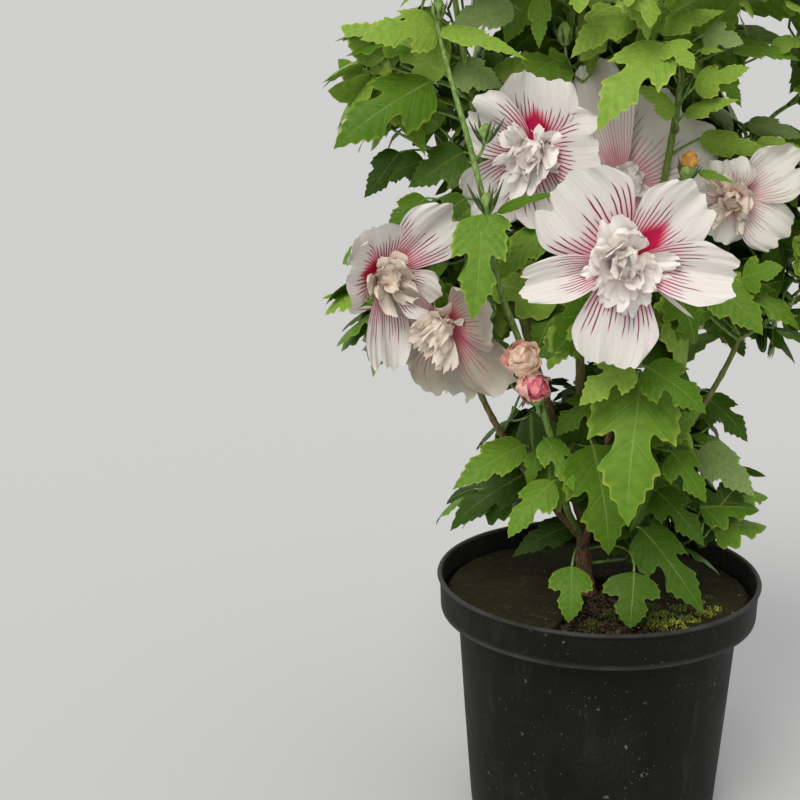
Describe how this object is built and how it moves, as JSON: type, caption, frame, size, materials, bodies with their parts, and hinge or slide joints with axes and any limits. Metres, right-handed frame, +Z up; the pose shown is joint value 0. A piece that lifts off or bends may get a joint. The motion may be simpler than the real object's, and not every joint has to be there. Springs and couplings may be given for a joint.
{
  "type": "potted hibiscus shrub",
  "caption": "Young hibiscus shrub with lobed green leaves and white double blooms streaked with crimson, growing in a round black nursery pot with a felt mulch disc.",
  "frame": {"origin": "centre of the pot's flat underside", "axes": "+Z up the plant, -Y towards the front with the largest bloom, +X to the right seen from the front"},
  "size_m": [0.3586, 0.2829, 0.7236],
  "materials": {
    "pot_plastic": "satin",
    "compost": "matte",
    "mulch_felt": "matte",
    "bark": "matte",
    "foliage": "satin",
    "shoot": "satin",
    "leaf": "satin",
    "petal": "matte",
    "bud": "satin",
    "moss": "matte",
    "grit": "matte"
  },
  "bodies": {
    "root": {"pot": "pot_plastic", "compost": "compost", "mulch_disc": "mulch_felt", "trunk": "bark", "bough_front": "bark", "bough_left": "bark", "bough_right": "bark", "bough_back_left": "bark", "bough_back_right": "bark", "leader_left": "bark", "leader_right": "bark", "leader_middle": "bark", "foliage_low_front": "foliage", "foliage_low_left": "foliage", "foliage_low_right": "foliage", "foliage_low_back": "foliage", "foliage_mid_front": "foliage", "foliage_mid_left": "foliage", "foliage_mid_right": "foliage", "foliage_mid_back_left": "foliage", "foliage_mid_back_right": "foliage", "foliage_upper_front": "foliage", "foliage_upper_left": "foliage", "foliage_upper_right": "foliage", "foliage_upper_back": "foliage", "foliage_top_left": "foliage", "foliage_top_right": "foliage", "foliage_top_middle": "foliage", "foliage_tip_left": "foliage", "foliage_tip_right": "foliage", "foliage_tip_middle": "foliage"}
  },
  "joints": []
}
